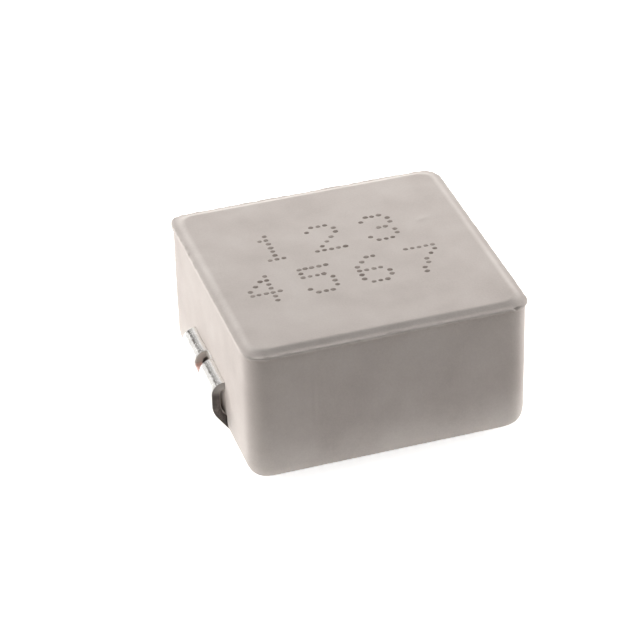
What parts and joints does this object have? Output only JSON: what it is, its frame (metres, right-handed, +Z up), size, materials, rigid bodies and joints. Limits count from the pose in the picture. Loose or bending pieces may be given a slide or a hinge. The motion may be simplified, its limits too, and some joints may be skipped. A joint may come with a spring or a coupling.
{
  "type": "shielded smd inductor",
  "caption": "Square moulded power inductor with rounded corners and folded metal strip terminals under two sides, for soldering flat on a circuit board.",
  "frame": {"origin": "middle of the two solder faces, on the surface that the part stands on", "axes": "+X from the left terminal to the right one, +Z up out of the marked top face"},
  "size_m": [0.0118, 0.0104, 0.0058],
  "materials": {
    "coated_powder": "warm grey coat on pressed iron powder, matt with fine grain",
    "tinned_copper": "tin plate, satin",
    "enamelled_copper": "clear enamel on copper"
  },
  "bodies": {
    "root": {"moulded_body": "coated_powder", "left_terminal": "tinned_copper", "right_terminal": "tinned_copper", "winding": "enamelled_copper"}
  },
  "joints": []
}
